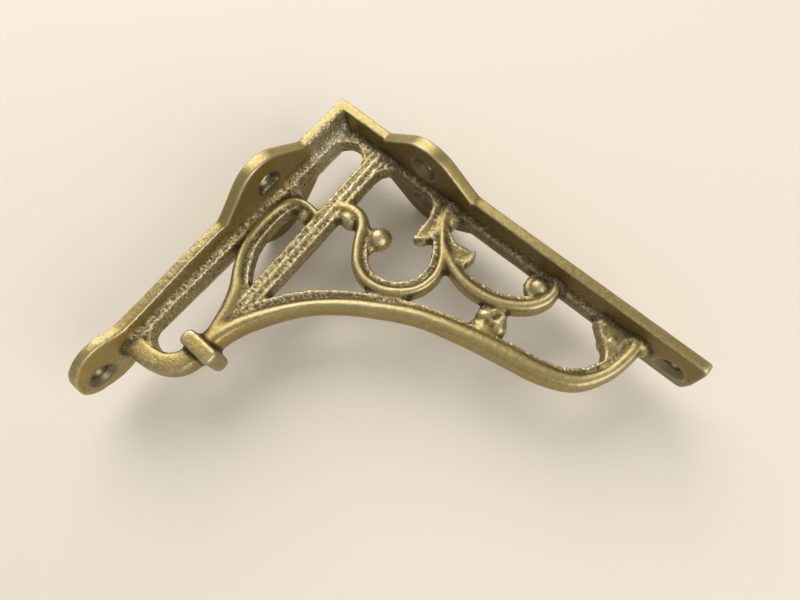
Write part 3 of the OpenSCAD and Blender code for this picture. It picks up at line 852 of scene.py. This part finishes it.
# Pale flecks on the grain tops: partly rubbed brass, partly painted glints.
rub_and_glint = total((total((mask["rub_and_glint"], read["crust"])), mask["bright"]))
brown = total(
    (mask["pit"], 0.65), (speck, 0.55), (mask["hollow"], 0.5), (mask["deep"], 0.45), (read["shade"], 0.5)
)
# The pale layer: rubbed grain tops and ridges, painted glints, and painted light on the wall arm's inner
# face.
rub_and_painted_light = total(
    (mask["top"], 0.35), (rub_and_glint, 0.45), (read["crust"], 0.07), (mask["ridge"], 0.12), (read["worn"], 0.2)
)
colour = linear(GOLD)
for share, coat in ((cloud, PALER_GOLD), (brown, BROWN), (rub_and_painted_light, PALE_RUB_AND_LIGHT), (read["bare"], BARE)):
    layers = {"Factor": share, "A": colour, "B": linear(coat)}
    colour = add(t, "ShaderNodeMix", layers, data_type="RGBA").outputs["Result"]
print("finish nodes so far:", len(t.nodes))

# %% Antique brass: shine and relief
# Rubbed plate is half polished and patina is dull. The metal is a little below full, because
# patina scatters some light of its own. Grain that is too fine for the mesh is bump.
RUBBED_ROUGH, BROWN_ROUGH, TURNED_ROUGH = 0.36, 0.55, 0.42
METAL = 0.85
SMOOTH_BUMP, GRAIN_DEPTH = 0.06, 0.34
shine = {"Value": brown, "To Min": RUBBED_ROUGH, "To Max": BROWN_ROUGH}
rough = add(t, "ShaderNodeMapRange", shine).outputs["Result"]
rough = add(t, "ShaderNodeMix", {"Factor": read["bare"], "A": rough, "B": TURNED_ROUGH}).outputs["Result"]
relief = {"Value": read["crust"], "To Min": SMOOTH_BUMP, "To Max": 1.0}
lift = add(t, "ShaderNodeMapRange", relief).outputs["Result"]
bump = add(t, "ShaderNodeBump", {"Height": grain, "Strength": lift, "Distance": GRAIN_DEPTH * MM})
shader = add(
    t, "ShaderNodeBsdfPrincipled",
    {"Base Color": colour, "Roughness": rough, "Metallic": METAL, "Normal": bump.outputs["Normal"]},
)
add(t, "ShaderNodeOutputMaterial", {"Surface": shader.outputs["BSDF"]})
bracket.data.materials.clear()
bracket.data.materials.append(brass)
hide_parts("bracket")
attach(bracket, "root")
print("finish nodes:", len(t.nodes))

# %% [markdown]
# Stage, light and camera
#
# A pale floor under the casting, a large soft lamp from the side that the light came from, a
# weaker one opposite and an even white sky. Small lamps would put hard spots on the beads.
# The camera stands where the photo was taken from: its place was worked out from the right
# angle of the arms and the round holes.

# %% Floor
# Matt paper: no shine, so the shadow stays soft and plain.
FLOOR_WIDE, FLOOR_MIDDLE = 6, (0.05, -0.05)  # m
PAPER, PAPER_ROUGH = "#d9cfbf", 0.9
bpy.ops.object.select_all(action="DESELECT")
bpy.ops.mesh.primitive_plane_add(size=FLOOR_WIDE, location=(*FLOOR_MIDDLE, cad_box[0][2]))
floor = settle("floor", (1, 1, 1))
paper, t = fresh("pale_paper")
shader = add(t, "ShaderNodeBsdfPrincipled", {"Base Color": linear(PAPER), "Roughness": PAPER_ROUGH})
add(t, "ShaderNodeOutputMaterial", {"Surface": shader.outputs["BSDF"]})
floor.data.materials.append(paper)
print("floor at", round(cad_box[0][2] / MM, 1), "mm")

# %% Light
SKY, SKY_STRENGTH = "#f4f4f0", 0.6
LAMPS = [  # name, place in m, width in m, power in W
    ("main_light", (-0.45, 0.25, 0.55), 0.7, 5.6),
    ("weaker_light", (0.7, -0.08, 0.42), 0.6, 3.2),
]
LIT_PLACE = (0.05, -0.04, 0.0)
scene = bpy.context.scene
scene.view_settings.view_transform = "Standard"
world = bpy.data.worlds.new("white_sky")
world.use_nodes = True
world.node_tree.nodes["Background"].inputs["Color"].default_value = linear(SKY)
world.node_tree.nodes["Background"].inputs["Strength"].default_value = SKY_STRENGTH
scene.world = world
for name, place, size, power in LAMPS:
    light = bpy.data.lights.new(name, "AREA")
    light.size = size
    light.energy = power
    lamp = bpy.data.objects.new(name, light)
    lamp.location = place
    lamp.rotation_euler = (Vector(LIT_PLACE) - Vector(place)).to_track_quat("-Z", "Y").to_euler()
    scene.collection.objects.link(lamp)
print("lamps:", [row[0] for row in LAMPS])

# %% Camera
# Place in m, then the directions of the picture's right side, its top and the way back.
CAMERA_AT = (0.092649, -0.071555, 0.160932)
RIGHT, UP, BACK = (
    (0.758081, 0.6508, -0.042094), (-0.608011, 0.728633, 0.315304), (0.235871, -0.213432, 0.948057)
)
SENSOR, FOCAL, NEAREST = 36, 27.155, 5  # mm
lens = bpy.data.cameras.new("camera")
lens.sensor_width = SENSOR
lens.lens = FOCAL
lens.clip_start = NEAREST * MM
camera = bpy.data.objects.new("camera", lens)
camera.matrix_world = Matrix.Translation(CAMERA_AT) @ Matrix((RIGHT, UP, BACK)).transposed().to_4x4()
scene.collection.objects.link(camera)
scene.camera = camera
print("camera", round(CAMERA_AT[2] / MM), "mm above the middle plane")
